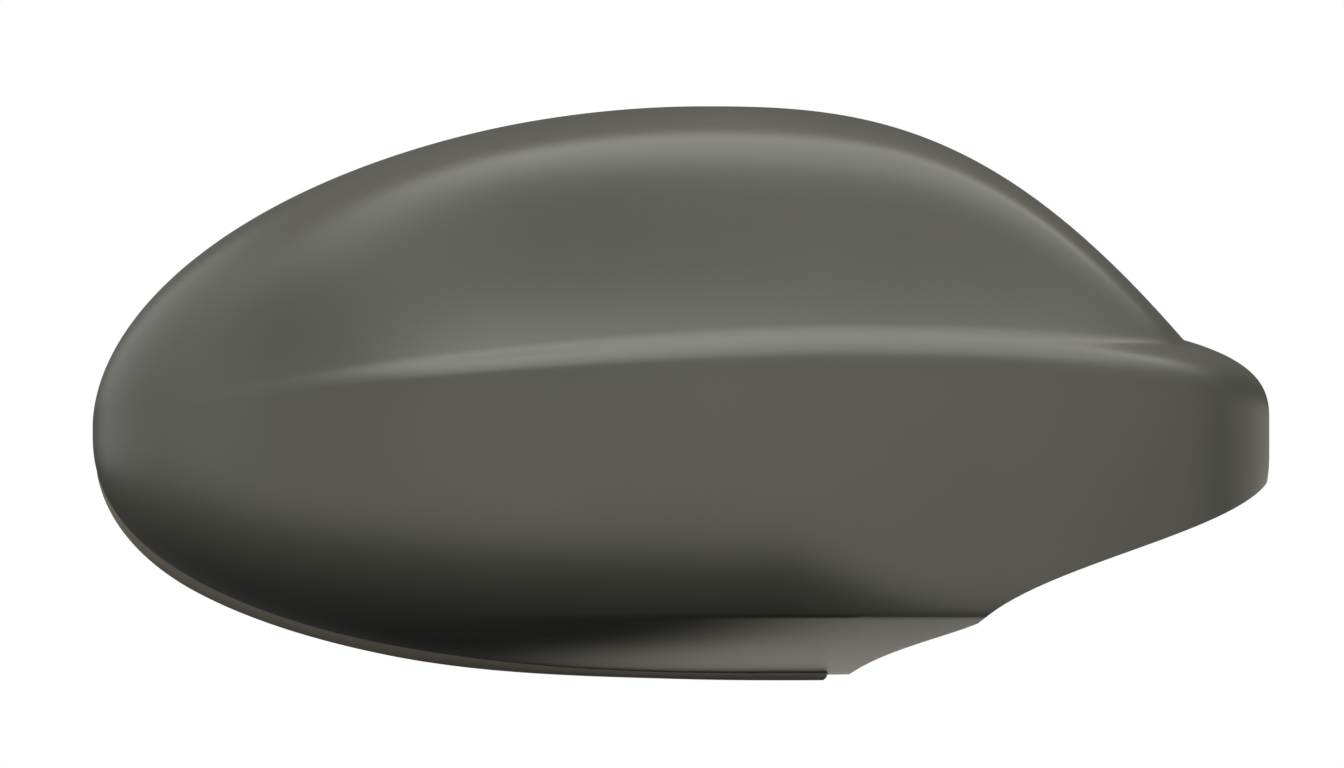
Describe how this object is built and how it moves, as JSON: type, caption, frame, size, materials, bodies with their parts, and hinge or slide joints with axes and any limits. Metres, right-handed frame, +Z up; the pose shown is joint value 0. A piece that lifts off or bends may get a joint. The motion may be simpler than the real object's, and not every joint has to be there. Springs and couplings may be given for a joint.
{
  "type": "wing mirror housing",
  "caption": "Domed front cover of a car's wing mirror, open at the back, with a crease, a lower rim bead and a cut-out for the arm.",
  "frame": {"origin": "middle of the rim plane, where the cover seats on the mirror's carrier", "axes": "+X along the cover towards the mirror's arm, +Y out of the open back, +Z up, so the front faces -Y"},
  "size_m": [0.244, 0.085, 0.1188],
  "materials": {
    "primed_plastic": "satin dark warm grey, unpainted"
  },
  "bodies": {
    "root": {"mirror_cover": "primed_plastic"}
  },
  "joints": []
}
